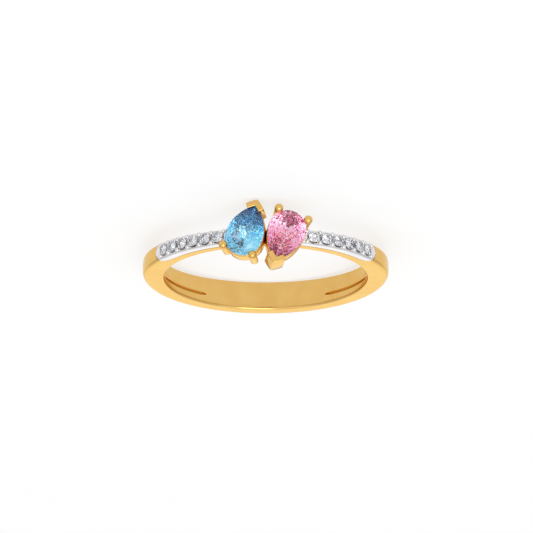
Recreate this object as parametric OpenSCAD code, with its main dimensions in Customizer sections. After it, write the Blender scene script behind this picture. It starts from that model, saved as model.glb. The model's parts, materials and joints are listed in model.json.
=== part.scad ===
// A toi et moi ring: a yellow gold band with two pear cut stones set head to tail, and
// a white gold pave plate with six small diamonds on each shoulder.
// It is drawn standing up, with the finger hole's axis along Y and the stones on top,
// and then laid on its side as it rests by itself. All sizes are in millimetres.

/* [Finger hole] */
// Inside diameter of the band
finger_d = 16.5; // [15:0.1:19]

/* [Band] */
// Thickness of the band at its two sides
side_t = 1.75; // [1.6:0.05:2]
// Thickness of the band at the foot, opposite the stones
foot_t = 1.5; // [1.4:0.05:1.6]
// Height of the shoulders over the finger, with the white plates
shoulder_t = 1.45; // [1.35:0.05:1.5]
// Width of the band at the foot
foot_w = 2.45; // [2:0.05:2.8]
// Width of the band under the stones
top_w = 1.15; // [1.1:0.05:1.4]
// Radius of the band's domed outer face, across its width
dome_r = 4; // [3:0.5:8]

/* [Slots inside the band] */
// Angle from the foot at which a slot starts
slot_from = 36.5; // [30:0.5:50]
// Angle from the foot at which a slot ends, up in the shoulder
slot_to = 100; // [90:1:120]
// Width of a slot
slot_w = 0.25; // [0.15:0.01:0.3]
// Depth of a slot
slot_t = 0.3; // [0.15:0.01:0.4]
// Distance of a slot's middle from the middle of the band
slot_y = 0.31; // [0.2:0.01:0.4]

/* [Pave plates] */
// Thickness of a white plate
plate_t = 0.78; // [0.7:0.01:0.85]
// Angle from the top at which a plate's round end starts
plate_to = 61; // [60:0.1:62]
// Length of a plate's round end
plate_end = 0.56; // [0.4:0.02:0.8]
// Diamonds on each shoulder
diamond_count = 6; // [3:1:6]
// Angle from the top of the first diamond
diamond_from = 23.4; // [23:0.1:24]
// Angle between two diamonds
diamond_step = 6.6; // [6.4:0.05:6.7]
// Diameter of a diamond
diamond_d = 0.9; // [0.85:0.01:0.96]
// Radius of a bead that holds two diamonds
bead_r = 0.18; // [0.12:0.01:0.2]
// Distance of a bead from the middle of the band
bead_y = 0.4; // [0.38:0.01:0.42]

/* [Pear stones] */
// Width of a pear stone
pear_w = 3.02; // [2.8:0.02:3.2]
// Length from the middle of the round end to the tip
pear_tip = 2.79; // [2.5:0.01:2.9]
// Height of the crown over the girdle
pear_crown = 0.46; // [0.3:0.02:0.6]
// Depth of the pavilion under the girdle
pear_depth = 1.3; // [1:0.05:1.4]
// Thickness of the girdle
pear_girdle = 0.06; // [0.04:0.01:0.1]
// Size of the table, as a share of the stone
pear_table = 0.58; // [0.45:0.01:0.65]

/* [Stone seats] */
// Height of the pear stones' girdles over the finger hole's axis
girdle_h = 10.29; // [10.2:0.01:10.5]
// Distance of a stone's round end from the middle, along the band
head_x = 0.6; // [0.55:0.005:0.65]
// Distance of a stone's round end from the middle, across the band
head_y = 0.353; // [0.2:0.01:0.5]
// Angle of a stone's long axis to the finger
head_turn = 21.2; // [10:0.2:25]
// Angle by which a stone leans away from its partner
head_tilt = 6.5; // [6:0.5:7]

/* [Prongs and rails] */
// Diameter of the ball on a round prong
ball_d = 0.71; // [0.6:0.01:0.72]
// Diameter of a round prong's leg
leg_d = 0.66; // [0.55:0.01:0.68]
// Distance of a round prong from the middle of the round end
leg_at = 1.75; // [1.7:0.01:1.8]
// Angle of a round prong from the stone's long axis, at the round end
leg_angle = 46; // [40:1:52]
// Angle by which a leg leans in towards the stone's axis on its way down
leg_lean = 3.5; // [0:0.5:5]
// Reach of the prongs under the girdle
leg_drop = 2.0; // [1.6:0.1:2]
// Height of the balls' middles over the girdle
ball_up = 0.3; // [0.25:0.01:0.4]
// Thickness of the V prong outside the stone
v_wall = 0.34; // [0.3:0.01:0.5]
// Length of an arm of the V prong
v_arm = 1.0; // [0.7:0.05:1.3]
// Height of the V prong over the girdle
v_up = 0.42; // [0.3:0.01:0.5]
// How far the rail under a stone stands out of the girdle
rail_out = 0.03; // [0:0.01:0.1]
// Thickness of the rail's wall
rail_t = 0.28; // [0.25:0.01:0.3]
// Depth of the rail's top under the girdle
rail_top = 0.3; // [0.3:0.05:0.4]
// Height of the rail
rail_h = 1.25; // [1.15:0.05:1.3]

/* [Hidden] */
$fn = 96;
gap = 0.03;           // air left between two pieces
eps = 0.01;
finger_r = finger_d / 2;
side_r = finger_r + side_t;
foot_r = finger_r + foot_t;
shoulder_r = finger_r + shoulder_t;
// the outer face is two round faces, one over the shoulders and one round the foot,
// that meet at the sides of the ring
foot_c = (side_r * side_r - foot_r * foot_r) / (2 * foot_r);
shoulder_c = (side_r * side_r - shoulder_r * shoulder_r) / (2 * shoulder_r);
half_slope = (foot_w - top_w) / 2 / (foot_r + shoulder_r);
pear_a = pear_w / 2;
pear_rho = (pear_tip * pear_tip + pear_a * pear_a) / (2 * pear_a);
diamond_r = diamond_d / 2;
diamond_crown = 0.14 * diamond_d;
diamond_depth = 0.425 * diamond_d;
diamond_girdle = 0.03;
diamond_up = 0.04;    // the diamonds' girdles stand this far over the plate
arc_steps = 12;
notch_h = 0.2;        // a prong's notch starts this far under the girdle

// half of the band's width at a height z
function half_w(z) = foot_w / 2 - half_slope * (z + foot_r);

// distance of the shoulder's outer face from the finger's axis, at an angle from the top
function shoulder_at(angle) =
    sqrt(pow(shoulder_r + shoulder_c, 2) - pow(shoulder_c * sin(angle), 2))
    - shoulder_c * cos(angle);

// distance from the middle of the round end to a line that touches the stone's outline,
// grown by g, where the line's normal is at an angle from the long axis
function pear_reach(angle, g = 0) =
    let (a = abs(((angle + 180) % 360) - 180), t = asin((pear_rho - pear_a) / (pear_rho + g)))
    a >= 90 ? pear_a + g
    : a > t ? pear_rho + g - (pear_rho - pear_a) * sin(a)
    : pear_tip_at(g) * cos(a);
function pear_tip_at(g) = sqrt(pow(pear_rho + g, 2) - pow(pear_rho - pear_a, 2));

// a point of the outline's long side, by the angle of its normal
function flank(angle, g) = [(pear_rho + g) * cos(angle), (pear_rho + g) * sin(angle) - (pear_rho - pear_a)];
function mirror_y(points) = [for (i = [len(points) - 1 : -1 : 0]) [points[i][0], -points[i][1]]];
function tip_angle(g) = asin((pear_rho - pear_a) / (pear_rho + g));

// the pear outline grown by g: a flank from the tip, half of the round end, and the same mirrored
function pear_half(g) = concat(
    [for (i = [0 : arc_steps - 1]) flank(tip_angle(g) + (90 - tip_angle(g)) * i / arc_steps, g)],
    [for (i = [0 : arc_steps]) (pear_a + g) * [cos(90 + 90 * i / arc_steps), sin(90 + 90 * i / arc_steps)]]);
function pear_points(g) = let (half = pear_half(g), n = len(half))
    concat(half, mirror_y([for (i = [1 : n - 2]) half[i]]));

// On its side the ring rests on the lower corner of one V prong and on the rim of the
// foot. Seen along the band, these are the two points' distances from its middle and
// their heights over the finger's axis, with the ring standing up.
prong_y = pear_tip_at(v_wall) * cos(head_turn) - head_y;
prong_z = (pear_tip_at(v_wall) * sin(head_turn) - head_x) * sin(head_tilt)
    + (girdle_h - leg_drop) * cos(head_tilt);
rim_z = -foot_r + dome_r - sqrt(dome_r * dome_r - foot_w * foot_w / 4);
rest_pitch = atan((prong_y - half_w(rim_z)) / (prong_z - rim_z));

// Placing

// from standing up to lying on its side, as it rests
module lay() rotate([-rest_pitch, 0, 0]) rotate([-90, 0, 180]) children();

// a stone's own frame: X along the stone to its tip, Z out of the ring, origin at the
// middle of the round end at girdle height; turn is 0 for one stone and 180 for the other
module at_head(turn) rotate([0, 0, turn]) rotate([0, -head_tilt, 0])
    translate([-head_x, -head_y, girdle_h]) rotate([0, 0, 90 - head_turn]) children();

// a place on the shoulder: side is -1 for left and 1 for right
module on_shoulder(side, angle, up = 0) rotate([0, side * angle, 0])
    translate([0, 0, shoulder_at(angle) + up]) children();

// Facet cutting

// the corners of the outline that eight straight lines make round a stone, from each
// line's distance to the axis; the first line faces the angle start
function corners(reaches, start) = let (n = len(reaches), step = 360 / n) [for (i = [0 : n - 1])
    let (a = start + step * i, b = a + step, p = reaches[i], q = reaches[(i + 1) % n])
    [p * sin(b) - q * sin(a), q * cos(a) - p * cos(b)] / sin(step)];

// facets stacked over one such outline: each level gives a height and the outline's size
// there; a first size of 0 makes a point
module facet_stack(outline, levels) {
    n = len(outline);
    points = [for (level = levels, p = outline) [level[1] * p[0], level[1] * p[1], level[0]]];
    pointed = levels[0][1] == 0;
    polyhedron(
        pointed ? [for (i = [n - 1 : len(points) - 1]) points[i]] : points,
        let (first = pointed ? 1 : 0, at = pointed ? 1 - n : 0)
        concat(
            pointed ? [for (i = [0 : n - 1]) [0, at + n + i, at + n + (i + 1) % n]] : [[for (i = [0 : n - 1]) i]],
            [for (k = [first : len(levels) - 2], i = [0 : n - 1]) let (low = at + n * k, j = (i + 1) % n)
                [low + i, low + n + i, low + n + j, low + j]],
            [[for (i = [n - 1 : -1 : 0]) at + n * (len(levels) - 1) + i]]));
}

// a brilliant cut: mains that face the even angles and meet in the culet, and between
// them girdle facets and stars; reaches gives the stone's reach at sixteen angles
module brilliant(reaches, crown, depth, girdle, table) {
    top = girdle / 2 + crown;
    mains = corners([for (i = [0 : 2 : 15]) reaches[i]], 0);
    halves = corners([for (i = [1 : 2 : 15]) reaches[i]], 22.5);
    intersection() {
        facet_stack(mains, [[-girdle / 2 - depth, 0], [-girdle / 2, 1], [girdle / 2, 1], [top, table]]);
        facet_stack(halves, [[-girdle / 2 - 1.05 * depth, 0], [-girdle / 2, 1], [girdle / 2, 1],
                             [top + 0.1, 1 - (1 - table) * (1 + 0.1 / crown) / 1.16]]);
        facet_stack(halves, [[-2 * depth, 1.04 * table + (top + 2 * depth) * (1 - table) / 0.62 / crown],
                             [top + 0.1, 1.04 * table - 0.1 * (1 - table) / 0.62 / crown]]);
    }
}

module pear_blank(g, from, to) translate([0, 0, from]) linear_extrude(to - from) polygon(pear_points(g));
function pear_reaches(g) = [for (i = [0 : 15]) pear_reach(22.5 * i, g)];

module pear_cut() intersection() {
    pear_blank(0, -3, 3);
    brilliant(pear_reaches(0), pear_crown, pear_depth, pear_girdle, pear_table);
}

// the room that the settings leave for a pear stone: a notch in each prong
module pear_room() intersection() {
    pear_blank(gap, -notch_h, 3);
    facet_stack(corners([for (i = [0 : 2 : 15]) pear_reach(22.5 * i, gap)], 0),
        [[-1, 1], [pear_girdle / 2 + gap, 1], [pear_girdle / 2 + gap + pear_crown, pear_table]]);
}

module diamond_cut()
    brilliant([for (i = [0 : 15]) diamond_r], diamond_crown, diamond_depth, diamond_girdle, 0.57);

// Band

// a disc across the finger with a domed rim, for the band's outer face
module domed_disc(r, z) translate([0, 0, z]) rotate([90, 0, 0]) rotate_extrude()
    intersection() {
        translate([0, -foot_w]) square([r + 1, 2 * foot_w]);
        union() {
            translate([0, -foot_w]) square([r - dome_r, 2 * foot_w]);
            translate([r - dome_r, 0]) circle(dome_r);
        }
    }

// the band's flat sides: wider at the foot than under the stones
module side_faces() rotate([90, 0, 90]) linear_extrude(3 * side_r, center = true)
    polygon([for (z = [-foot_r - 1, side_r + 1]) [half_w(z), z],
             for (z = [side_r + 1, -foot_r - 1]) [-half_w(z), z]]);

// a wedge of space from the finger's axis, between two angles from the top
module sector(from, to, side = 1) rotate([90, 0, 0]) linear_extrude(3 * foot_w, center = true)
    polygon([[0, 0], for (a = [from : (to - from) / 4 : to + eps]) 2 * side_r * [side * sin(a), cos(a)]]);

// a round hole or rod across the finger
module across(r, z = 0) translate([0, 0, z]) rotate([90, 0, 0])
    cylinder(h = 3 * foot_w, r = r, center = true, $fn = 180);

function oval(a, b) = [for (t = [0 : 15 : 345]) [a * cos(t), b * sin(t)]];

// what lies over the seat of the plates, with a round end on each shoulder
module over_seat(g = 0) difference() {
    union() {
        sector(-plate_to, plate_to);
        for (side = [-1, 1]) rotate([0, side * plate_to, 0]) linear_extrude(2 * side_r)
            polygon(oval(plate_end - g, half_w(shoulder_r * cos(plate_to)) - g));
    }
    across(shoulder_r + shoulder_c - plate_t + g, z = -shoulder_c);
}

// the narrow slots inside the band, one on each side, near the front of the finger hole:
// seen from the side, each is a straight strip
module slots() intersection() {
    across(finger_r + slot_t);
    translate([0, -slot_y, 0]) rotate([90, 0, 0]) linear_extrude(slot_w, center = true)
        for (side = [-1, 1]) polygon([[0, 0], for (i = [0 : 4]) let (a = slot_from + (slot_to - slot_from) * i / 4)
            2 * side_r * [side * sin(a), -cos(a)]]);
}

module band() difference() {
    intersection() {
        domed_disc(foot_r + foot_c, foot_c);
        domed_disc(shoulder_r + shoulder_c, -shoulder_c);
        side_faces();
    }
    over_seat();
    slots();
}

// Heads

// a prong's own frame: origin at the middle of its ball, the leg straight down
module at_ball(at) rotate([0, 0, at]) translate([leg_at, 0, ball_up]) rotate([0, leg_lean, 0]) children();

module leg(d = leg_d) translate([0, 0, -leg_drop - ball_up]) cylinder(h = leg_drop + ball_up, d = d, $fn = 48);

module ball_prong(at) at_ball(at) {
    sphere(d = ball_d, $fn = 48);
    leg();
}

module v_prong() {
    outer = tip_angle(v_wall);
    end = outer + v_arm / (pear_rho + v_wall) * 180 / PI;
    inner = -0.12;    // the prong reaches in over the crown
    arm = concat([for (i = [0 : 4]) flank(outer + (end - outer) * i / 4, v_wall)],
                 [for (i = [0 : 4]) flank(end + (tip_angle(inner) - end) * i / 4, inner)]);
    for (s = [0, 1]) mirror([0, s, 0]) translate([0, 0, -leg_drop])
        linear_extrude(leg_drop + v_up) polygon(arm);
}

module rail() translate([0, 0, -rail_top - rail_h]) linear_extrude(rail_h) difference() {
    polygon(pear_points(rail_out));
    polygon(pear_points(rail_out - rail_t));
}

module head() {
    rail();
    v_prong();
    for (s = [-1, 1]) ball_prong(180 + s * leg_angle);
}

// Pieces

module gold_mount() color("#F2C879") lay() difference() {
    union() {
        band();
        for (turn = [0, 180]) at_head(turn) head();
    }
    across(finger_r);
    for (turn = [0, 180]) at_head(turn) pear_room();
}

module pave_plate(side) color("#D8D8DE") lay() difference() {
    union() {
        intersection() {
            over_seat(gap);
            domed_disc(shoulder_r + shoulder_c, -shoulder_c);
            side_faces();
            sector(12, 75, side);
        }
        for (i = [0 : diamond_count], s = [-1, 1])
            on_shoulder(side, diamond_from + diamond_step * (i - 0.5))
            translate([0, s * bead_y, 0]) sphere(r = bead_r, $fn = 24);
    }
    for (turn = [0, 180]) at_head(turn) {
        translate([0, 0, -leg_drop - 1]) linear_extrude(leg_drop + 1) polygon(pear_points(rail_out + gap));
        for (s = [-1, 1]) at_ball(180 + s * leg_angle) leg(leg_d + 2 * gap);
    }
    for (i = [0 : diamond_count - 1])
        on_shoulder(side, diamond_from + diamond_step * i, diamond_up) diamond_seat();
}

// the hole for a diamond: a cone for the pavilion, room for the girdle, and a pilot hole
module diamond_seat() {
    wide = diamond_r + gap;
    deep = diamond_depth * wide / diamond_r;
    cylinder(h = 1, r = wide, $fn = 48);
    translate([0, 0, -diamond_girdle / 2 - deep]) cylinder(h = deep, r1 = 0, r2 = wide, $fn = 48);
    translate([0, 0, -diamond_girdle]) cylinder(h = 2 * diamond_girdle, r = wide, $fn = 48);
    translate([0, 0, -1]) cylinder(h = 1, r = 0.12, $fn = 48);
}

module blue_pear() color("#6CC4EC") lay() at_head(0) pear_cut();
module pink_pear() color("#F09AC8") lay() at_head(180) pear_cut();
module diamond(side, i) color("#EEF2F8") lay()
    on_shoulder(side, diamond_from + diamond_step * i, diamond_up) diamond_cut();

gold_mount();
pave_plate(-1);  // pave_plate_left
pave_plate(1);  // pave_plate_right
blue_pear();
pink_pear();
for (i = [0 : diamond_count - 1]) {
    diamond(-1, i);
    diamond(1, i);
}
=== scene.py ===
# %% [markdown]
# # A toi et moi ring
# The ring has a yellow gold band, two pear cut stones set head to tail, and a white gold
# plate with six small diamonds on each shoulder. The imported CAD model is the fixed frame.
# Here each piece is made again with the rounded edges, beads and facets that the eye looks
# for on jewellery, in the same place and at the same size as its solid.

# %% Load the frame
import json
import math

import bmesh
import bpy
from mathutils import Matrix, Vector


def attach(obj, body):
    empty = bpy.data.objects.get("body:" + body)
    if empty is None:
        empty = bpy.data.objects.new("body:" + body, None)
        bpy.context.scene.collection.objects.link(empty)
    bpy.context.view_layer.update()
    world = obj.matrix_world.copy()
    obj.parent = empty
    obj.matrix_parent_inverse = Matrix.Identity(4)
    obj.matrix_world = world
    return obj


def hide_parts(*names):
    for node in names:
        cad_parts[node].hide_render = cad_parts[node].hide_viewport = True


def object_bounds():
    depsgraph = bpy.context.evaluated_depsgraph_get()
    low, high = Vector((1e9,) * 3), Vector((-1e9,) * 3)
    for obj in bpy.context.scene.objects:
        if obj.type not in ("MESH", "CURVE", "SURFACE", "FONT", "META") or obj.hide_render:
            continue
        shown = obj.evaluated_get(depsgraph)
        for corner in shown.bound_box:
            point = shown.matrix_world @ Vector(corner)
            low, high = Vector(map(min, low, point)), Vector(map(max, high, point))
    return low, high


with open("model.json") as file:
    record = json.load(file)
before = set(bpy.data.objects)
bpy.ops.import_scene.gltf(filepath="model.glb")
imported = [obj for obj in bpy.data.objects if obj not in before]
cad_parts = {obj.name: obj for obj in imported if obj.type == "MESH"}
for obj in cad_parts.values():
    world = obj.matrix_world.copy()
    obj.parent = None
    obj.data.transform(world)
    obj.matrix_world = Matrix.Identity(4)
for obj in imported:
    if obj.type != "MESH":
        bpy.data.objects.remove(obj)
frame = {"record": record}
cad_box = [list(corner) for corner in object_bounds()]
print("CAD box in mm", [[round(1000 * x, 2) for x in corner] for corner in cad_box])

# %% [markdown]
# ## The bench
# A ring is easiest to draw standing up: X runs to the right, Y through the finger hole to
# the back and Z up to the stones, in millimetres. The real ring was laid on its side, and
# leans a little because it rests on one prong. One matrix takes every point from the bench
# to that place, with the lean read from the finger hole's axis in the record.

# %% From the bench to the frame
hole_axis = frame["record"]["mounts"][0]["axis"]
lean = math.atan2(hole_axis[1], hole_axis[2])
LAY = (Matrix.Scale(0.001, 4) @ Matrix.Rotation(-lean, 4, "X")
       @ Matrix.Rotation(math.pi, 4, "Z") @ Matrix.Rotation(-math.pi / 2, 4, "X"))
print("the ring leans", round(math.degrees(lean), 2), "degrees")

# %% [markdown]
# ## Pieces
# Each piece is a closed mesh, made from a list of points and faces. Points that fall
# together are joined, and an edge is drawn sharp only where two faces meet at a real
# corner, so that polished curves shade softly. A cut stone takes two finishes, because its
# upper side lets light in and its lower side turns it back.

# %% Add a piece to the ring
SAME_PLACE = 1e-7    # points closer together than this, in metres, are one
NO_LENGTH = 1e-8     # and an edge shorter than this is none


def finish_under_girdle(mesh, matrix):
    """Puts the second finish on a stone's level girdle and on the facets under it."""
    down = (matrix.to_3x3() @ Vector((0, 0, -1))).normalized()
    over_girdle = matrix @ Vector((0, 0, 0.05))
    for face in mesh.polygons:
        under = face.normal.dot(down) > -0.02 and (face.center - over_girdle).dot(down) > 0
        face.material_index = 1 if under else 0


def add_piece(name, points, faces, finish, nodes, place=None, crease=35):
    """Makes a closed mesh from bench points and sets it in the place of its CAD nodes."""
    matrix = LAY @ place if place else LAY
    mesh = bpy.data.meshes.new(name)
    mesh.from_pydata([matrix @ Vector(p) for p in points], [], faces)
    work = bmesh.new()
    work.from_mesh(mesh)
    bmesh.ops.remove_doubles(work, verts=work.verts, dist=SAME_PLACE)
    bmesh.ops.dissolve_degenerate(work, edges=work.edges, dist=NO_LENGTH)
    bmesh.ops.recalc_face_normals(work, faces=work.faces)
    open_edges = sum(1 for edge in work.edges if len(edge.link_faces) != 2)
    work.to_mesh(mesh)
    work.free()
    mesh.shade_smooth()
    mesh.set_sharp_from_angle(angle=math.radians(crease))
    finishes = finish if isinstance(finish, tuple) else (finish,)
    for one in finishes:
        mesh.materials.append(one)
    if len(finishes) == 2:
        finish_under_girdle(mesh, matrix)
    piece = bpy.data.objects.new(name, mesh)
    bpy.context.scene.collection.objects.link(piece)
    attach(piece, "root")
    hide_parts(*nodes)
    print(name, len(mesh.polygons), "faces,", open_edges, "open edges")
    return piece


print("one millimetre on the bench is", round(LAY.to_scale()[0], 6), "metres in the frame")

# %% [markdown]
# ## Colours and nodes
# Colours are written as sRGB hex, as a colour picker shows them, and turned to linear
# light in one place. Patterns are given by their real size in millimetres.

# %% Colour and node helpers
def hex_colour(text):
    """An sRGB hex colour as linear light, with alpha."""
    parts = [int(text[i:i + 2], 16) / 255 for i in (1, 3, 5)]
    return [c / 12.92 if c <= 0.04045 else ((c + 0.055) / 1.055) ** 2.4 for c in parts] + [1]


def per_mm(size):
    """A texture scale for a pattern that repeats every size millimetres."""
    return 1000 / size


def add_node(tree, kind, settings=None, links=None):
    """Adds a node, sets its settings or input values, and links its inputs."""
    node = tree.nodes.new(kind)
    for key, value in (settings or {}).items():
        if isinstance(key, int) or key in node.inputs:
            node.inputs[key].default_value = value
        else:
            setattr(node, key, value)
    for key, source in (links or {}).items():
        tree.links.new(source, node.inputs[key])
    return node


def new_finish(name):
    """An empty node material."""
    finish = bpy.data.materials.new(name)
    finish.use_nodes = True
    finish.node_tree.nodes.clear()
    return finish


print("mid grey #808080 is", round(hex_colour("#808080")[0], 3), "in linear light")

# %% [markdown]
# ## Polished gold
# The band and the settings are 18 carat yellow gold, cast, filed and buffed with rouge.
# Buffing leaves a mirror with a very slight waviness and hair lines, so reflections are
# a little soft. The plates are white gold with a bright rhodium plating, cut with gravers
# and less even. Both are metals, so the colour is in the reflection and the IOR stays at
# its default. Gold keeps its yellow even at glancing angles, which the specular tint sets.
# Real hair lines are some thousandths of a millimetre wide, too fine to show, so they are
# drawn as a waviness 0.25 mm wide on the yellow gold and 0.12 mm on the white.

# %% Metals
CLOUD_MM = 1.6    # size of the faint darker clouds painted into the metal's colour, a painted reflection of the room


def polished_metal(name, colour, reflection_cloud_colour, glancing, rough, buff_mm, wave_um):
    """A polished precious metal: colour with faint painted reflection clouds, glancing colour, roughness and
    faint waviness.
    """
    finish = new_finish(name)
    tree = finish.node_tree
    place = add_node(tree, "ShaderNodeTexCoord")
    cloud = add_node(tree, "ShaderNodeTexNoise", {"Scale": per_mm(CLOUD_MM), "Detail": 2.0},
                     {"Vector": place.outputs["Object"]})
    buffing = add_node(tree, "ShaderNodeTexNoise", {"Scale": per_mm(buff_mm), "Detail": 4.0},
                       {"Vector": place.outputs["Object"]})
    # painted reflection: the colour drifts in faint clouds towards a darker tone, standing in for the room
    # seen in the metal
    tint = add_node(tree, "ShaderNodeValToRGB", None, {"Fac": cloud.outputs["Fac"]})
    tint.color_ramp.elements[0].position = 0.35
    tint.color_ramp.elements[0].color = hex_colour(reflection_cloud_colour)
    tint.color_ramp.elements[1].position = 0.65
    tint.color_ramp.elements[1].color = hex_colour(colour)
    polish = add_node(tree, "ShaderNodeMapRange",
                      {"From Min": 0.3, "From Max": 0.7, "To Min": 0.85 * rough, "To Max": 1.15 * rough},
                      {"Value": buffing.outputs["Fac"]})
    wave = add_node(tree, "ShaderNodeBump", {"Strength": 1.0, "Distance": wave_um * 1e-6},
                    {"Height": buffing.outputs["Fac"]})
    metal = add_node(tree, "ShaderNodeBsdfPrincipled",
                     {"Metallic": 1.0, "Specular Tint": hex_colour(glancing)},
                     {"Base Color": tint.outputs["Color"], "Roughness": polish.outputs["Result"],
                      "Normal": wave.outputs["Normal"]})
    add_node(tree, "ShaderNodeOutputMaterial", None, {"Surface": metal.outputs["BSDF"]})
    return finish


yellow_gold = polished_metal("yellow_gold_18ct_buffed", "#E3BA70", "#DFB468", "#FCF3D8",
                             rough=0.16, buff_mm=0.25, wave_um=0.3)
white_gold = polished_metal("white_gold_rhodium_plated", "#E2E0E0", "#D6D4D5", "#FFFFFF",
                            rough=0.18, buff_mm=0.12, wave_um=1.6)
print("metals:", yellow_gold.name, "and", white_gold.name)

# %% [markdown]
# ## Cut stones
# Light goes in at the crown, is turned back by the pavilion's facets and comes out again,
# more coloured the longer its way. So each stone has two finishes: a clear crown, and a
# pavilion that returns all the light, as it does in a well cut stone seen from above. The
# pavilion's colour runs from pale at the round end to deep at the tip. A real stone's
# sparks come from facets seen through facets. Tracing them all would need far more light
# paths, so small cells, each about as large as one spark, differ in shade and direction.

# %% Gem materials
def crown_finish(name, ior, tint, body, density):
    """The clear polished crown, with the colour that the stone's body takes from the light."""
    finish = new_finish(name)
    tree = finish.node_tree
    place = add_node(tree, "ShaderNodeTexCoord")
    zones = add_node(tree, "ShaderNodeTexNoise", {"Scale": per_mm(0.7), "Detail": 1.0},
                     {"Vector": place.outputs["Object"]})
    zoning = add_node(tree, "ShaderNodeMix",
                      {"data_type": "RGBA", 6: hex_colour(tint), 7: hex_colour("#FFFFFF")},
                      {0: zones.outputs["Fac"]})
    clear = add_node(tree, "ShaderNodeBsdfPrincipled",
                     {"Roughness": 0.0, "IOR": ior, "Transmission Weight": 1.0},
                     {"Base Color": zoning.outputs[2]})
    output = add_node(tree, "ShaderNodeOutputMaterial", None, {"Surface": clear.outputs["BSDF"]})
    if density:
        absorbed = add_node(tree, "ShaderNodeVolumeAbsorption",
                            {"Color": hex_colour(body), "Density": density})
        tree.links.new(absorbed.outputs["Volume"], output.inputs["Volume"])
    return finish


def pavilion_finish(name, shades, cell_mm, tip_share, tilt):
    """The pavilion's facets, which turn back all light in cells of differing shade. The
    shade deepens by tip_share towards the tip, and tilt is how far the cells lean."""
    finish = new_finish(name)
    tree = finish.node_tree
    place = add_node(tree, "ShaderNodeTexCoord")
    sparks = add_node(tree, "ShaderNodeTexVoronoi", {"Scale": per_mm(cell_mm), "Randomness": 1.0},
                      {"Vector": place.outputs["Object"]})
    spark = add_node(tree, "ShaderNodeSeparateColor", None, {"Color": sparks.outputs["Color"]})
    along = add_node(tree, "ShaderNodeAttribute", {"attribute_name": "along"})
    tipwards = add_node(tree, "ShaderNodeMath", {"operation": "MULTIPLY_ADD", 1: tip_share},
                        {0: along.outputs["Fac"], 2: spark.outputs["Red"]})
    depth = add_node(tree, "ShaderNodeMapRange", {"From Max": 1.0 + tip_share},
                     {"Value": tipwards.outputs["Value"]})
    shade = add_node(tree, "ShaderNodeValToRGB", None, {"Fac": depth.outputs["Result"]})
    ramp = shade.color_ramp
    for i, (at, colour) in enumerate(shades):
        stop = ramp.elements[i] if i < 2 else ramp.elements.new(at)
        stop.position = at
        stop.color = hex_colour(colour)
    flat = add_node(tree, "ShaderNodeNewGeometry")
    leaning = add_node(tree, "ShaderNodeVectorMath",
                       {"operation": "MULTIPLY_ADD", 1: (tilt, tilt, tilt)},
                       {0: sparks.outputs["Color"], 2: flat.outputs["Normal"]})
    centred = add_node(tree, "ShaderNodeVectorMath",
                       {"operation": "SUBTRACT", 1: (tilt / 2, tilt / 2, tilt / 2)},
                       {0: leaning.outputs["Vector"]})
    normal = add_node(tree, "ShaderNodeVectorMath", {"operation": "NORMALIZE"},
                      {0: centred.outputs["Vector"]})
    facets = add_node(tree, "ShaderNodeBsdfPrincipled", {"Metallic": 1.0, "Roughness": 0.05},
                      {"Base Color": shade.outputs["Color"], "Normal": normal.outputs["Vector"]})
    add_node(tree, "ShaderNodeOutputMaterial", None, {"Surface": facets.outputs["BSDF"]})
    return finish


BLUE_SHADES = [(0.0, "#FFFFFF"), (0.22, "#E8FCFF"), (0.45, "#B8F0FC"), (0.7, "#74C4EA"), (1.0, "#3478BC")]
PINK_SHADES = [(0.0, "#FFFFFF"), (0.25, "#FFF2F8"), (0.5, "#FCD6E8"), (0.75, "#EC90C0"), (1.0, "#AC2C6C")]
WHITE_SHADES = [(0.0, "#FFFFFF"), (0.5, "#FFFFFF"), (0.8, "#DCDFE8"), (1.0, "#8A8E9C")]
blue_stone = (crown_finish("blue_stone_crown", 1.7, "#ECFAFE", "#58CCF6", 50.0),
              pavilion_finish("blue_stone_pavilion", BLUE_SHADES, 0.13, 1.1, 0.24))
pink_stone = (crown_finish("pink_stone_crown", 1.7, "#FEF0FA", "#F078B4", 50.0),
              pavilion_finish("pink_stone_pavilion", PINK_SHADES, 0.13, 0.7, 0.26))
diamond_stone = (crown_finish("diamond_crown", 2.417, "#F6F8FC", "#FFFFFF", 0),
                 pavilion_finish("diamond_pavilion", WHITE_SHADES, 0.12, 0.0, 0.15))
print("stones:", [stone[0].name for stone in (blue_stone, pink_stone, diamond_stone)])

# %% [markdown]
# ## The band
# The band is a bent bar: flat sides, a domed outside and soft edges from polishing. A
# narrow groove runs round the inside of each shoulder, near the front. Cutting it with a
# boolean would leave ragged shading, so the band is swept instead: one section with a
# fixed number of points is worked out at each angle, and a step in the metal is simply
# two points, or two sections, very close together.

# %% Band sizes in millimetres
FINGER_R = 8.25
SIDE_R = 10.0        # outer radius at the sides,
FOOT_R = 9.75        # at the foot
SHOULDER_R = 9.7     # and over the shoulders
FOOT_C = (SIDE_R ** 2 - FOOT_R ** 2) / (2 * FOOT_R)    # how far each round is set off in Z
SHOULDER_C = (SIDE_R ** 2 - SHOULDER_R ** 2) / (2 * SHOULDER_R)
FOOT_W = 2.45
TOP_W = 1.15
DOME_R = 4.0         # the outside is domed across with this radius
PLATE_T = 0.78       # thickness of a white plate
PLATE_EDGE_Y = 0.6   # its edge lies about this far from the middle
PLATE_TO = math.radians(61)
PLATE_OVAL = 0.5     # length of a plate's round end
PLATE_CORNER = math.radians(5)    # over this angle the seat rises to the plate's end,
PLATE_END_T = 0.3    # where this share of the thickness is left


def half_width(z):
    """Half of the band's width at a height over the finger's axis."""
    return FOOT_W / 2 - (FOOT_W - TOP_W) / 2 / (FOOT_R + SHOULDER_R) * (z + FOOT_R)


def round_face(angle, radius, centre):
    """Distance from the finger's axis, at an angle from the top, to a circle set off in Z."""
    return centre * math.cos(angle) + math.sqrt(radius ** 2 - (centre * math.sin(angle)) ** 2)


def dome(y):
    """How far the domed outside has dropped at a place across."""
    return DOME_R - math.sqrt(DOME_R ** 2 - y ** 2)


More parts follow.
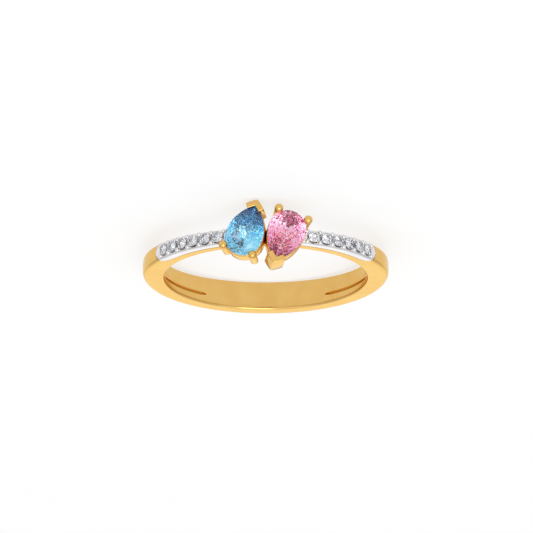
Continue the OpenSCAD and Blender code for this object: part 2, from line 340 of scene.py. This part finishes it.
def shoulder(angle, y=0.0):
    """The domed outer face over the shoulders."""
    return round_face(angle, SHOULDER_R + SHOULDER_C - dome(y), -SHOULDER_C)


def outside(angle, y):
    """The domed outer face: one round over the shoulders and one round the foot."""
    return min(round_face(angle, FOOT_R + FOOT_C - dome(y), FOOT_C), shoulder(angle, y))


def seat(angle):
    """The flat seat under a white plate, which rises in a soft corner at the plate's end."""
    share = min(max((abs(angle) - PLATE_TO) / PLATE_CORNER + 1, 0), 1)
    thick = PLATE_T * (PLATE_END_T + (1 - PLATE_END_T) * math.sqrt(1 - share ** 2))
    return round_face(angle, SHOULDER_R + SHOULDER_C - thick, -SHOULDER_C)


PLATE_END_W = half_width(SHOULDER_R * math.cos(PLATE_TO))
PLATE_END = PLATE_TO + math.asin(PLATE_OVAL / outside(PLATE_TO, 0))


def plate_half(angle):
    """Half of the white plate's width: all of the band, then a round end, then nothing."""
    if abs(angle) <= PLATE_TO:
        return half_width(outside(angle, PLATE_EDGE_Y) * math.cos(angle))
    lateral = outside(angle, 0) * math.sin(abs(angle) - PLATE_TO)
    return PLATE_END_W * math.sqrt(max(1 - (lateral / PLATE_OVAL) ** 2, 0))


print("plate ends at", round(math.degrees(PLATE_END), 1), "degrees from the top")

# %% One section of the band
BAND_EDGE_Y = 0.8    # the band's edge lies about this far from the middle
OUTER_EDGE = 0.34    # rounding where the domed outside meets the flat sides
INNER_EDGE = 0.22    # comfort rounding round the finger hole: this wide
INNER_LIFT = 0.1     # and this deep
SLOT_FROM, SLOT_TO = 36.5, 100.0    # the groove's ends, in degrees from the foot
SLOT_W, SLOT_T, SLOT_Y = 0.27, 0.19, 0.31    # its width, depth and distance from the middle
SLOT_TAPER = 4       # degrees in which it widens from half to full width


def smooth_step(x):
    """0 up to 0, 1 from 1 on, and a soft step between."""
    x = min(max(x, 0), 1)
    return x * x * (3 - 2 * x)


def outer_strip(angle, start, count=14):
    """The domed outside from y = start to the side, with its rounded edge."""
    if start >= plate_half(angle) - 1e-6 and abs(angle) <= PLATE_TO:
        r = seat(angle)
        return [(half_width(r * math.cos(angle)), r)] * (count + 1)
    reach = half_width(outside(angle, BAND_EDGE_Y) * math.cos(angle))
    bend = math.asin(min(max((start - reach + OUTER_EDGE) / OUTER_EDGE, 0), 1))
    flat = max(reach - OUTER_EDGE - start, 0)
    total = flat + OUTER_EDGE * (math.pi / 2 - bend)
    strip = []
    for k in range(count + 1):
        way = total * k / count
        turn = bend + max(way - flat, 0) / OUTER_EDGE
        y = start + way if way < flat else reach - OUTER_EDGE * (1 - math.sin(turn))
        drop = 0 if way < flat else OUTER_EDGE * (1 - math.cos(turn))
        strip.append((y, outside(angle, min(y, reach)) - drop))
    return strip


def between(a, b, shares):
    """Points on the straight line from a to b."""
    return [(a[0] * (1 - s) + b[0] * s, a[1] * (1 - s) + b[1] * s) for s in shares]


def comfort_edge(inner):
    """The soft edge of the finger hole, from the flat side to the hole."""
    turns = [math.pi / 2 * k / 7 for k in range(7, -1, -1)]
    return [(inner - INNER_EDGE * (1 - math.sin(t)), FINGER_R + INNER_LIFT * (1 - math.cos(t)))
            for t in turns]


def groove(angle, steps=10):
    """The bottom of the groove from front to back, or as many points on the plain wall."""
    way = 180 - abs(math.degrees(angle)) - SLOT_FROM
    width = SLOT_W * (0.5 + 0.5 * smooth_step(way / SLOT_TAPER))
    deep = SLOT_T if 0 <= way <= SLOT_TO - SLOT_FROM else 0
    front = -SLOT_Y - width / 2
    return [(front + width * k / steps, FINGER_R + deep * (1 - abs(2 * k / steps - 1) ** 1.3))
            for k in range(steps + 1)]


def band_section(angle, seat_points=17):
    """The band's outline (y, distance from the finger's axis) at an angle from the top."""
    inner = half_width(FINGER_R * math.cos(angle))
    edge = comfort_edge(inner)
    cut = groove(angle)
    section = [(-y, r) for y, r in edge]
    section += between((-inner + INNER_EDGE, FINGER_R), (cut[0][0], FINGER_R), (0.3, 0.7, 0.97))
    section += cut
    section += between((cut[-1][0], FINGER_R), (inner - INNER_EDGE, FINGER_R),
                       (0.03, 0.25, 0.5, 0.75, 0.95))
    section += edge[::-1]
    start = plate_half(angle)
    strip = outer_strip(angle, start)
    level = seat(angle) if start > 0 else outside(angle, 0)
    sides = between(section[-1], strip[-1], (0.03, 0.35, 0.65, 0.97))
    reach = min(start, strip[0][0])
    section += sides
    section += reversed(strip)
    section += [(reach * (1 - 2 * k / (seat_points - 1)), level) for k in range(seat_points)]
    section += [(-y, r) for y, r in strip]
    section += [(-y, r) for y, r in reversed(sides)]
    return section


print("a section has", len(band_section(0.0)), "points")

# %% Sweep the band
BESIDE = 0.04    # degrees to each side of a step in the metal


def band_angles():
    """The angles from the top, in radians: even steps, and close ones where the metal steps."""
    degrees = set(range(-180, 180))
    degrees |= {0.5 * k for k in range(-36, 37)}
    for at in (math.degrees(PLATE_TO), math.degrees(PLATE_END), 180 - SLOT_FROM, 180 - SLOT_TO):
        degrees |= {sign * (at + step) for sign in (-1, 1) for step in (-BESIDE, BESIDE)}
    for k in range(1, 12):
        at = math.degrees(PLATE_TO - PLATE_CORNER * (1 - math.sin(math.pi / 2 * k / 12)))
        degrees |= {at, -at}
    for k in range(1, 16):
        lateral = PLATE_OVAL * math.sin(math.pi / 2 * k / 16)
        at = math.degrees(PLATE_TO + math.asin(lateral / outside(PLATE_TO, 0)))
        degrees |= {at, -at}
    return [math.radians(a) for a in sorted(degrees)]


def sweep(sections, closed):
    """Faces that join a row of closed sections, each with the same number of points."""
    size = len(sections[0])
    rows = len(sections)
    faces = [(i * size + j, i * size + (j + 1) % size,
              (i + 1) % rows * size + (j + 1) % size, (i + 1) % rows * size + j)
             for i in range(rows if closed else rows - 1) for j in range(size)]
    if not closed:
        faces.append(tuple(range(size)))
        faces.append(tuple((rows - 1) * size + j for j in reversed(range(size))))
    return [p for section in sections for p in section], faces


def bent(angle, y, r):
    """A bench point from an angle from the top, a place across and a radius."""
    return (r * math.sin(angle), y, r * math.cos(angle))


points, faces = sweep([[bent(a, y, r) for y, r in band_section(a)] for a in band_angles()], True)
add_piece("gold_band", points, faces, yellow_gold, ["gold_mount"], crease=40)

# %% [markdown]
# ## Places for the stones
# Each stone has its own small frame, with the origin at the middle of its round end at
# girdle height, X to its tip and Z out of the ring. The second stone is the first one
# turned half a turn. The pear outline is two long arcs from the tip and a half circle,
# and every offset of it is the same arcs with a larger radius.

# %% Stone frames and the pear outline
PEAR_A = 1.51      # radius of the round end
PEAR_TIP = 2.79    # from its middle to the tip
PEAR_RHO = (PEAR_TIP ** 2 + PEAR_A ** 2) / (2 * PEAR_A)    # radius of the long arcs
GIRDLE_H, HEAD_X, HEAD_Y = 10.29, 0.6, 0.353
HEAD_TURN, HEAD_TILT = math.radians(21.2), math.radians(6.5)


def head_frame(turn):
    """The frame of one stone, turned round the ring's middle."""
    return (Matrix.Rotation(turn, 4, "Z") @ Matrix.Rotation(-HEAD_TILT, 4, "Y")
            @ Matrix.Translation((-HEAD_X, -HEAD_Y, GIRDLE_H))
            @ Matrix.Rotation(math.pi / 2 - HEAD_TURN, 4, "Z"))


def tip_angle(g):
    """The direction of a long side's normal at the tip of the outline grown by g."""
    return math.asin((PEAR_RHO - PEAR_A) / (PEAR_RHO + g))


def flank(angle, g):
    """A point of the long side of the outline grown by g, by its normal's angle."""
    return Vector(((PEAR_RHO + g) * math.cos(angle),
                   (PEAR_RHO + g) * math.sin(angle) - (PEAR_RHO - PEAR_A)))


def pear_reach(angle):
    """How far the outline reaches in a direction."""
    a = abs((angle + math.pi) % math.tau - math.pi)
    if a >= math.pi / 2:
        return PEAR_A
    if a > tip_angle(0):
        return PEAR_RHO - (PEAR_RHO - PEAR_A) * math.sin(a)
    return PEAR_TIP * math.cos(a)


def pear_outline(g, steps=28):
    """The whole outline grown by g, from the tip round and back."""
    start = tip_angle(g)
    half = [flank(start + (math.pi / 2 - start) * i / steps, g) for i in range(steps)]
    round_end = [math.pi / 2 * (1 + i / steps) for i in range(steps + 1)]
    half += [Vector(((PEAR_A + g) * math.cos(a), (PEAR_A + g) * math.sin(a))) for a in round_end]
    return half + [Vector((p.x, -p.y)) for p in reversed(half[1:-1])]


HEADS = {"blue": head_frame(0), "pink": head_frame(math.pi)}
print("round ends at", [[round(x, 2) for x in place.translation] for place in HEADS.values()])

# %% [markdown]
# ## The settings
# Under each stone a rail follows the pear outline, a V prong holds the tip and two round
# prongs hold the round end. Rail and V prong are one section swept along an offset of the
# outline, then bevelled, because a jeweller breaks every edge with a file and a polished
# edge always shows a thin light. A round prong is turned as on a lathe: a ball, a neck and
# a leg with a rounded end.

# %% Rails
RAIL_OUT = 0.03    # the rail stands this far outside the stone's outline
RAIL_T, RAIL_H = 0.28, 1.25
RAIL_TOP = 0.3     # its top lies this far under the girdle
EDGE_BREAK = 0.07    # width of a filed and polished edge


def break_edges(piece, width):
    """Rounds sharp edges as polishing does, and keeps the flats flat."""
    bevel = piece.modifiers.new("edge_break", "BEVEL")
    bevel.width = width * 0.001
    bevel.segments = 3
    bevel.limit_method = "ANGLE"
    bevel.angle_limit = math.radians(28)
    bevel.harden_normals = False
    even = piece.modifiers.new("even_light", "WEIGHTED_NORMAL")
    even.keep_sharp = False
    piece.data.shade_smooth()


for colour, place in HEADS.items():
    levels = [(RAIL_OUT - RAIL_T, -RAIL_TOP - RAIL_H), (RAIL_OUT, -RAIL_TOP - RAIL_H),
              (RAIL_OUT, -RAIL_TOP), (RAIL_OUT - RAIL_T, -RAIL_TOP)]
    rings = [pear_outline(g) for g, z in levels]
    sections = [[(ring[i].x, ring[i].y, z) for ring, (g, z) in zip(rings, levels)]
                for i in range(len(rings[0]))]
    points, faces = sweep(sections, True)
    rail = add_piece(f"{colour}_rail", points, faces, yellow_gold, ["gold_mount"], place)
    break_edges(rail, EDGE_BREAK)

# %% V prongs
V_WALL, V_ARM = 0.34, 1.0    # thickness of the prong, and length of each arm
V_UP, LEG_DROP = 0.42, 2.0    # its top over the girdle and its foot under it
V_OVER = -0.13    # how far it reaches in over the stone
V_LIP, V_NOTCH = 0.12, 0.03    # its inside slopes out between these heights


def v_section(share, mirrored):
    """The V prong's section, at a share of the way from the tip to an arm's end."""
    end = tip_angle(V_WALL) + V_ARM / (PEAR_RHO + V_WALL)
    shape = [(V_WALL, -LEG_DROP), (V_WALL, V_UP), (V_OVER, V_UP), (V_OVER, V_LIP), (0.0, V_NOTCH),
             (0.0, -LEG_DROP)]
    section = []
    for g, z in shape:
        start = tip_angle(g)
        at = flank(start + (end - start) * share, g)
        section.append((at.x, -at.y if mirrored else at.y, z))
    return section


for colour, place in HEADS.items():
    steps = 6
    sections = [v_section(k / steps, False) for k in range(steps, -1, -1)]
    sections += [v_section(k / steps, True) for k in range(1, steps + 1)]
    points, faces = sweep(sections, False)
    prong = add_piece(f"{colour}_v_prong", points, faces, yellow_gold, ["gold_mount"], place)
    break_edges(prong, EDGE_BREAK)

# %% Round prongs
BALL_R, LEG_R = 0.355, 0.33
BALL_UP = 0.3    # the ball's middle over the girdle
LEG_AT = 1.75    # from the middle of the stone's round end
LEG_ANGLE, LEG_LEAN = math.radians(46), math.radians(3.5)
NECK = 0.9       # the neck under the ball, as a share of the leg's radius


def turned_profile():
    """The round prong's outline from top to bottom, as (radius, height)."""
    bottom = -LEG_DROP - BALL_UP
    neck = math.pi - math.asin(NECK * LEG_R / BALL_R)
    ball = [(BALL_R * math.sin(neck * k / 22), BALL_R * math.cos(neck * k / 22)) for k in range(23)]
    under = ball[-1][1]
    leg = [(LEG_R * 0.97, under - 0.05), (LEG_R, under - 0.12), (LEG_R, -1.2)]
    rounding = [math.pi / 2 * k / 8 for k in range(9)]
    foot = [(LEG_R * math.cos(t), bottom + LEG_R - LEG_R * math.sin(t)) for t in rounding]
    return ball + leg + foot


def turned(profile, around=40):
    """A lathe: the profile turned round Z."""
    sections = [[(r * math.cos(a), r * math.sin(a), z) for r, z in profile]
                for a in (math.tau * k / around for k in range(around))]
    size = len(profile)
    faces = [(i * size + j, i * size + j + 1, (i + 1) % around * size + j + 1, (i + 1) % around * size + j)
             for i in range(around) for j in range(size - 1)]
    return [p for section in sections for p in section], faces


for colour, place in HEADS.items():
    for number, sign in ((1, -1), (2, 1)):
        stand = (place @ Matrix.Rotation(math.pi + sign * LEG_ANGLE, 4, "Z")
                 @ Matrix.Translation((LEG_AT, 0, BALL_UP)) @ Matrix.Rotation(LEG_LEAN, 4, "Y"))
        points, faces = turned(turned_profile())
        add_piece(f"{colour}_round_prong_{number}", points, faces, yellow_gold,
                  ["gold_mount"], stand, crease=50)

# %% [markdown]
# ## The pave plates
# The setter cuts a bright bowl for each diamond, lowers the metal between the stones, and
# raises a bead at each corner that is pushed over the diamonds' edges. A boolean cut for
# each bowl would leave long thin faces that shade badly. So the plate's top is a height
# map over angle and width, fine enough for each bowl, closed by flat sides and a flat
# underside.

# %% The setter's cuts
DIAMOND_COUNT = 6
DIAMOND_FROM, DIAMOND_STEP = math.radians(23.4), math.radians(6.6)
DIAMOND_R = 0.45
BOWL_R, BOWL_T = DIAMOND_R + 0.02, 0.4    # a bowl is a little wider than its diamond
BRIGHT_R, BRIGHT_T = 0.56, 0.02    # a bright cut runs round the bowl
CRESCENT_R, CRESCENT_T = DIAMOND_R + 0.03, 0.3    # a thin dark gap shows at the stone's front,
CRESCENT_Y = -0.36    # from here to the plate's front side
WEB_T = 0.24    # the metal between two diamonds is lowered by this


def within(limit, at, soft):
    """1 well under a limit and 0 over it, with a soft step as wide as soft."""
    return smooth_step((limit - at) / soft)


def cut_down(angle, y):
    """How deep the setter has cut at a place on the plate."""
    nearest = min(max(round((angle - DIAMOND_FROM) / DIAMOND_STEP), 0), DIAMOND_COUNT - 1)
    along = SHOULDER_R * (angle - DIAMOND_FROM - nearest * DIAMOND_STEP)
    away = math.hypot(along, y)
    bowl = min(max(BOWL_R - away, 0), BOWL_T)
    bright_cut = BRIGHT_T * within(BRIGHT_R, away, 0.08)
    crescent = CRESCENT_T * within(0.055, abs(away - CRESCENT_R), 0.025) * within(CRESCENT_Y, y, 0.06)
    place_in_row = (angle - DIAMOND_FROM) / DIAMOND_STEP + 0.5
    if not 0 < place_in_row < DIAMOND_COUNT:
        return max(bowl, bright_cut, crescent)
    across = SHOULDER_R * (place_in_row % 1 - 0.5) * DIAMOND_STEP
    gap = abs(abs(across) - SHOULDER_R * DIAMOND_STEP / 2)
    web = WEB_T * within(0.09, gap, 0.05) * within(0.24, abs(y), 0.07)
    return max(bowl, bright_cut, crescent, web)


print("deepest cut", round(cut_down(DIAMOND_FROM, 0), 2), "mm")

# %% Pave plates
PLATE_START = math.radians(16)    # clear of the pear stones' pavilions
PLATE_PROUD = 0.012    # the plate stands this far out of the band
SEAT_GAP = 0.002    # solder between plate and seat
ROLL = 0.24    # the rim rolls over to the side with this radius
BEAD_R, BEAD_Y = 0.19, 0.42
BEAD_H = 0.9    # a bead's height as a share of its radius


def plate_section(angle, columns=56):
    """The plate's outline at an angle: top from front to back, then the flat underside."""
    half = plate_half(angle)
    section = []
    for k in range(columns + 1):
        share = 2 * k / columns - 1
        # the points lie closer towards the rims, where the metal curves most
        y = half * math.sin(math.pi / 2 * share) * 0.35 + half * share * 0.65
        edge = max(ROLL - (half - abs(y)), 0)
        rolled = ROLL - math.sqrt(max(ROLL ** 2 - edge ** 2, 0))
        section.append((y, shoulder(angle, abs(y)) + PLATE_PROUD - cut_down(angle, y) - rolled))
    base = seat(angle) + SEAT_GAP
    return section + [(half, base), (-half, base)]


def bead(angle, y):
    """A raised bead, a little flatter than a ball."""
    profile = [(BEAD_R * math.sin(math.pi * k / 12), BEAD_H * BEAD_R * math.cos(math.pi * k / 12))
               for k in range(13)]
    points, faces = turned(profile, 20)
    place = Matrix.Rotation(angle, 4, "Y") @ Matrix.Translation((0, y, shoulder(angle)))
    return [place @ Vector(p) for p in points], faces


for side, name in ((-1, "left"), (1, "right")):
    rows = 380
    length = PLATE_END - 0.0005 - PLATE_START
    angles = [PLATE_START + length * k / rows for k in range(rows + 1)]
    points, faces = sweep([[bent(side * a, y, r) for y, r in plate_section(a)] for a in angles], False)
    for i in range(DIAMOND_COUNT + 1):
        for y in (-BEAD_Y, BEAD_Y):
            more, more_faces = bead(side * (DIAMOND_FROM + DIAMOND_STEP * (i - 0.5)), y)
            faces += [tuple(len(points) + v for v in face) for face in more_faces]
            points += more
    add_piece(f"white_plate_{name}", points, faces, white_gold,
              [f"pave_plate_{name}"], crease=50)

# %% [markdown]
# ## Cutting the stones
# A cutter starts from a rough of the right outline and laps one flat facet after another.
# A facet is a plane, given by a direction round the stone, the place it passes and its
# slope, and the stone is what lies inside all its planes. Planes turn into points in the
# dual space, where a convex hull finds which three planes meet in each corner. So every
# facet stays perfectly flat, which a gem needs to sparkle, and shading stays flat too.

# %% Planes to a solid
def hull(points):
    """A mesh of the convex hull of the points, with nothing left inside."""
    work = bmesh.new()
    for point in points:
        work.verts.new(point)
    bmesh.ops.remove_doubles(work, verts=work.verts, dist=1e-5)
    made = bmesh.ops.convex_hull(work, input=work.verts[:])
    left_over = made["geom_interior"] + made["geom_unused"]
    loose = {v for v in left_over if isinstance(v, bmesh.types.BMVert)}
    bmesh.ops.delete(work, geom=list(loose), context="VERTS")
    return work


def stone_inside(planes, middle):
    """Points and faces of the convex stone inside all the planes, round a middle point."""
    duals = [normal / normal.dot(at - middle) for normal, at in planes]
    work = hull(duals)
    corners = []
    for face in work.faces:
        a, b, c = (v.co for v in face.verts[:3])
        normal = (b - a).cross(c - a)
        corners.append(middle + normal / normal.dot(a))
    work.free()
    work = hull(corners)
    bmesh.ops.dissolve_limit(work, angle_limit=math.radians(0.4), verts=work.verts, edges=work.edges)
    work.verts.index_update()
    points = [v.co.copy() for v in work.verts]
    faces = [tuple(v.index for v in face.verts) for face in work.faces]
    work.free()
    return points, faces


CUBE = [(Vector(n), Vector(n)) for n in ((1, 0, 0), (-1, 0, 0), (0, 1, 0), (0, -1, 0), (0, 0, 1), (0, 0, -1))]
print("six planes make a solid with", len(stone_inside(CUBE, Vector((0, 0, 0)))[0]), "corners")


# %% Facets
def facet(angle, reach, z, slope, upward):
    """A facet's plane, as its outward normal and a point on it."""
    sign = 1 if upward else -1
    normal = Vector((math.sin(slope) * math.cos(angle), math.sin(slope) * math.sin(angle),
                     sign * math.cos(slope)))
    return normal, Vector((reach * math.cos(angle), reach * math.sin(angle), z))


def cut_stone(outline, reach_at, crown, depth, girdle, table, pavilion_tiers, keel=0):
    """A brilliant: table, crown facets, the outline's girdle and pavilion facets."""
    top = girdle / 2 + crown
    planes = [(Vector((0, 0, 1)), Vector((0, 0, top)))]
    for p, q in zip(outline, outline[1:] + outline[:1]):
        side = Vector((q[1] - p[1], p[0] - q[0], 0)).normalized()
        planes.append((side, Vector((p[0], p[1], 0))))
    # crown tiers: facets, turn in facets, steepness, how far out and how high they pass
    crown_tiers = [(8, 0, 1.0, 1.0, girdle / 2), (16, 0.5, 1.17, 1.0, girdle / 2),
                   (8, 0.5, 0.6, 1.03 * table, top)]
    for count, turn, steep, out, z in crown_tiers:
        for k in range(count):
            angle = math.tau * (k + turn) / count
            reach = reach_at(angle)
            slope = math.atan(steep * crown / (reach * (1 - table)))
            planes.append(facet(angle, out * reach, z, slope, True))
    # pavilion tiers: facets, turn in facets, steepness, how far in from the girdle
    for count, turn, steep, start in pavilion_tiers:
        for k in range(count):
            angle = math.tau * (k + turn) / count
            if math.cos(angle) > math.cos(keel):
                continue
            reach = reach_at(angle)
            slope = math.atan(steep * depth / reach)
            planes.append(facet(angle, reach * (1 - start), -girdle / 2 - start * depth, slope, False))
    return stone_inside(planes, Vector((0, 0, -0.05 * depth)))


# %% Pear stones
PEAR_DEPTH, PEAR_CROWN, PEAR_GIRDLE, PEAR_TABLE = 1.3, 0.46, 0.06, 0.58
PEAR_TIERS = [(24, 0, 1.0, 0), (40, 0.5, 1.14, 0), (36, 0.25, 0.96, 0.12), (32, 0.5, 0.88, 0.28),
              (24, 0, 0.78, 0.46), (16, 0.5, 0.68, 0.64)]
KEEL = math.radians(30)    # no facet lies across the tip: two flanks meet in a keel there
PALE_TO, DEEP_FROM = 0.064, 0.864    # shares of the length between which the colour deepens
for colour, finish in (("blue", blue_stone), ("pink", pink_stone)):
    points, faces = cut_stone(pear_outline(0, 20), pear_reach, PEAR_CROWN, PEAR_DEPTH,
                              PEAR_GIRDLE, PEAR_TABLE, PEAR_TIERS, KEEL)
    stone = add_piece(f"{colour}_pear_stone", points, faces, finish,
                      [f"{colour}_pear"], HEADS[colour])
    stone.data.shade_flat()
    along = stone.data.attributes.new("along", "FLOAT", "POINT")
    to_stone = (LAY @ HEADS[colour]).inverted()
    for vertex, value in zip(stone.data.vertices, along.data):
        share = ((to_stone @ vertex.co).x + PEAR_A) / (PEAR_A + PEAR_TIP)
        value.value = smooth_step((share - PALE_TO) / (DEEP_FROM - PALE_TO))

# %% Diamonds
DIAMOND_CROWN, DIAMOND_DEPTH = 0.28 * DIAMOND_R, 0.85 * DIAMOND_R
DIAMOND_GIRDLE, DIAMOND_TABLE = 0.03, 0.57
DIAMOND_UP = 0.04    # the girdle lies this far over the plate
DIAMOND_TURN = 0.4    # each is set turned by this against the one before it, in radians
ROUND_TIERS = [(8, 0, 1.0, 0), (16, 0.5, 1.045, 0)]
girdle_turns = [math.tau * k / 32 for k in range(32)]
circle = [(DIAMOND_R * math.cos(a), DIAMOND_R * math.sin(a)) for a in girdle_turns]
for side, name in ((-1, "left"), (1, "right")):
    for i in range(DIAMOND_COUNT):
        angle = DIAMOND_FROM + DIAMOND_STEP * i
        place = (Matrix.Rotation(side * angle, 4, "Y")
                 @ Matrix.Translation((0, 0, shoulder(angle) + DIAMOND_UP))
                 @ Matrix.Rotation(DIAMOND_TURN * i, 4, "Z"))
        points, faces = cut_stone(circle, lambda a: DIAMOND_R, DIAMOND_CROWN, DIAMOND_DEPTH,
                                  DIAMOND_GIRDLE, DIAMOND_TABLE, ROUND_TIERS)
        stone = add_piece(f"diamond_{name}_{i + 1}_cut", points, faces, diamond_stone,
                          [f"diamond_{name}_{i + 1}"], place)
        stone.data.shade_flat()

# %% [markdown]
# ## Studio
# The ring lies on a white table under a large soft light, as a catalogue picture has it.
# Such a picture is exposed until the table is just white. A brighter card would throw too
# much light up into the gold, so the card is mid grey and a glow of its own makes it white.
# The room is light grey with a white wall at the back, a softbox in front and a darker
# place round the camera, because polished metal shows only what it reflects, and a stone
# needs dark as well as light to sparkle.

# %% White table
floor_z = cad_box[0][2]
table_mesh = bpy.data.meshes.new("white_table")
work = bmesh.new()
bmesh.ops.create_grid(work, x_segments=8, y_segments=8, size=3.0)
work.to_mesh(table_mesh)
work.free()
table = bpy.data.objects.new("white_table", table_mesh)
table.location = (0, 0, floor_z)
bpy.context.scene.collection.objects.link(table)
paper = new_finish("matt_white_card")
grain = add_node(paper.node_tree, "ShaderNodeTexNoise", {"Scale": per_mm(0.8)})
shade = add_node(paper.node_tree, "ShaderNodeMapRange", {"To Min": 0.29, "To Max": 0.31},
                 {"Value": grain.outputs["Fac"]})
card = add_node(paper.node_tree, "ShaderNodeBsdfPrincipled",
                {"Roughness": 0.9, "Specular IOR Level": 0.0,
                 "Emission Color": (1, 1, 1, 1), "Emission Strength": 0.69},
                {"Base Color": shade.outputs["Result"]})
add_node(paper.node_tree, "ShaderNodeOutputMaterial", None, {"Surface": card.outputs["BSDF"]})
table_mesh.materials.append(paper)
print("table at", round(1000 * floor_z, 2), "mm")

# %% Room and softbox
GREY_WALLS = 0.95
# each patch of the room: its direction, where it fades out and is full, as cosines, and
# how much lighter or darker it is than the grey walls
ROOM_PATCHES = {
    "white_back_wall": ((0, 0.97, 0.26), 0.72, 0.93, 0.62),
    "front_softbox": ((0, -0.66, 0.75), 0.55, 0.8, 0.4),
    "dark_place_round_the_camera": ((0, -0.94, 0.34), 0.95, 0.985, -0.15),
}
world = bpy.data.worlds.new("white_studio")
world.use_nodes = True
room = world.node_tree
room.nodes.clear()
around = add_node(room, "ShaderNodeTexCoord")
level = add_node(room, "ShaderNodeMath", {"operation": "ADD", 0: GREY_WALLS, 1: 0.0})
for patch, (direction, fade, full, gain) in ROOM_PATCHES.items():
    facing = add_node(room, "ShaderNodeVectorMath",
                      {"operation": "DOT_PRODUCT", "label": patch, 1: Vector(direction).normalized()},
                      {0: around.outputs["Generated"]})
    amount = add_node(room, "ShaderNodeMapRange",
                      {"interpolation_type": "SMOOTHSTEP", "From Min": fade, "From Max": full,
                       "To Min": 0.0, "To Max": gain}, {"Value": facing.outputs["Value"]})
    level = add_node(room, "ShaderNodeMath", {"operation": "ADD"},
                     {0: level.outputs["Value"], 1: amount.outputs["Result"]})
sky = add_node(room, "ShaderNodeBackground", None, {"Strength": level.outputs["Value"]})
add_node(room, "ShaderNodeOutputWorld", None, {"Surface": sky.outputs["Background"]})
bpy.context.scene.world = world


def softbox(name, place, aim, size, power):
    """A square soft light that looks at a point."""
    light = bpy.data.lights.new(name, "AREA")
    light.size = size
    light.energy = power
    lamp = bpy.data.objects.new(name, light)
    lamp.location = place
    lamp.rotation_euler = (Vector(place) - Vector(aim)).to_track_quat("Z", "Y").to_euler()
    bpy.context.scene.collection.objects.link(lamp)
    return lamp


key = softbox("key_softbox", (-0.08, -0.36, 0.3), (0, 0, 0), 0.3, 0.5)
print(len(ROOM_PATCHES), "patches in the room, softbox of", key.data.energy, "W")

# %% [markdown]
# ## Camera and light paths
# The picture was taken from in front of the ring and well above it, looking down on the
# stones. The lens is long, so the near and the far side of the band keep their sizes.
# Light needs many turns to find its way out of a cut stone, so more are allowed.

# %% Camera
FRAME_MM = 533 / 12.305    # width of the picture's frame at the ring
CAMERA_AWAY = 0.5          # metres
RISE = math.radians(73.85)    # from the ring's front side up towards the stones
AIM = Vector((0.07, 0.066, 0.225))    # the middle of the picture, on the bench
upright = LAY.to_3x3() * 1000
to_camera = upright @ Vector((0, -math.cos(RISE), math.sin(RISE)))
up = upright @ Vector((0, math.sin(RISE), math.cos(RISE)))
right = upright @ Vector((1, 0, 0))
camera_data = bpy.data.cameras.new("catalogue_camera")
camera_data.sensor_width = 36
camera_data.lens = 36 * CAMERA_AWAY * 1000 / FRAME_MM
camera_data.clip_start = 0.01
camera_data.clip_end = 20
camera = bpy.data.objects.new("catalogue_camera", camera_data)
camera.matrix_world = (Matrix.Translation(LAY @ AIM + CAMERA_AWAY * to_camera)
                       @ Matrix((right, up, to_camera)).transposed().to_4x4())
bpy.context.scene.collection.objects.link(camera)
bpy.context.scene.camera = camera
bpy.context.scene.view_settings.view_transform = "Standard"
bpy.context.scene.cycles.max_bounces = 24
bpy.context.scene.cycles.transmission_bounces = 24
bpy.context.scene.cycles.glossy_bounces = 10
print("camera looks along", [round(x, 3) for x in -to_camera])
